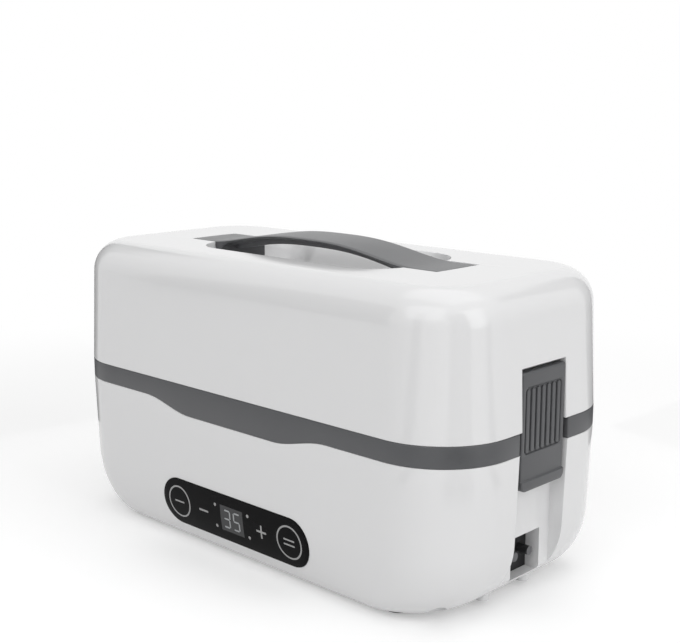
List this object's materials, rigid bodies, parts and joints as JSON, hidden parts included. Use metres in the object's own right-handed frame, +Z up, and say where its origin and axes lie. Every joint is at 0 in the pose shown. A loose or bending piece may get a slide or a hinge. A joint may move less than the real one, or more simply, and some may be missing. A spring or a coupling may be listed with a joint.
{
  "type": "electric lunch box",
  "caption": "Electric lunch box with a heated base, steel pots in a grey deck, a lift-off lid with a fixed carrying handle, and end latches.",
  "frame": {"origin": "centre of the case on the surface that its feet stand on", "axes": "+X along the length towards the power inlet, -Y towards the control panel, +Z up"},
  "size_m": [0.24, 0.1152, 0.1385],
  "materials": {
    "white_shell": "glossy",
    "grey_plastic": "satin",
    "rubber": "matte",
    "silicone": "matte",
    "coated_pan": "non-stick gloss",
    "polished_steel": "polished",
    "steel_screws": "zinc plated",
    "heater_aluminium": "cast",
    "heater_sheath": "dull",
    "sheet_steel": "plain sheet",
    "thermostat_body": "matte",
    "brass_parts": "plain",
    "black_plastic": "satin",
    "pin_metal": "polished",
    "circuit_board": "solder mask",
    "relay_case": "glossy",
    "winding": "taped winding",
    "lead_cover": "sleeved",
    "panel_gloss": "high gloss",
    "led_lens": "clear lens"
  },
  "bodies": {
    "base": {"base_shell": "white_shell", "bottom_cover": "white_shell", "rubber_feet": "rubber", "cover_screws": "steel_screws", "case_screws": "steel_screws", "tray_rim": "grey_plastic", "pan_gasket": "silicone", "heating_pan": "coated_pan", "pan_screws": "steel_screws", "left_heating_plate": "heater_aluminium", "right_heating_plate": "heater_aluminium", "left_heating_ring": "heater_sheath", "right_heating_ring": "heater_sheath", "heat_shield": "sheet_steel", "shield_nuts": "steel_screws", "thermostat": "thermostat_body", "thermal_fuse": "sheet_steel", "temperature_sensor": "brass_parts", "inlet_housing": "black_plastic", "inlet_pins": "pin_metal", "power_board": "circuit_board", "power_board_screws": "steel_screws", "relay": "relay_case", "transformer": "winding", "capacitors": "relay_case", "mains_leads": "lead_cover", "heater_leads": "lead_cover", "sensor_leads": "lead_cover", "panel_lens": "panel_gloss", "display_module": "black_plastic", "status_leds": "led_lens", "touch_springs": "pin_metal", "control_board": "circuit_board", "control_board_screws": "steel_screws", "panel_ribbon": "lead_cover"},
    "lid": {"lid_shell": "white_shell", "carry_handle": "grey_plastic", "handle_screws": "steel_screws", "left_latch_pin": "pin_metal", "right_latch_pin": "pin_metal"},
    "left_latch": {"left_latch": "grey_plastic"},
    "right_latch": {"right_latch": "grey_plastic"},
    "left_pot": {"left_pot": "polished_steel"},
    "right_pot": {"right_pot": "polished_steel"}
  },
  "joints": [
    {"name": "lid_lift", "type": "slide", "parent": "base", "child": "lid", "axis": [0, 0, 1], "range_m": [0, 0.09]},
    {"name": "right_latch_swing", "type": "hinge", "parent": "lid", "child": "right_latch", "pos_m": [0.1162, 0, 0.0949], "axis": [0, -1, 0], "range_deg": [0, 85.1]},
    {"name": "left_latch_swing", "type": "hinge", "parent": "lid", "child": "left_latch", "pos_m": [-0.1162, 0, 0.0949], "axis": [0, 1, 0], "range_deg": [0, 85.1]},
    {"name": "left_pot_lift", "type": "slide", "parent": "base", "child": "left_pot", "axis": [0, 0, 1], "range_m": [0, 0.0451]},
    {"name": "right_pot_lift", "type": "slide", "parent": "base", "child": "right_pot", "axis": [0, 0, 1], "range_m": [0, 0.0451]}
  ],
  "couplings": [
    {"joint": "right_latch_swing", "follows": "lid_lift", "rad_per_m": 16.48},
    {"joint": "left_latch_swing", "follows": "lid_lift", "rad_per_m": 16.48},
    {"joint": "left_pot_lift", "follows": "lid_lift", "ratio": 0.5},
    {"joint": "right_pot_lift", "follows": "lid_lift", "ratio": 0.5}
  ]
}
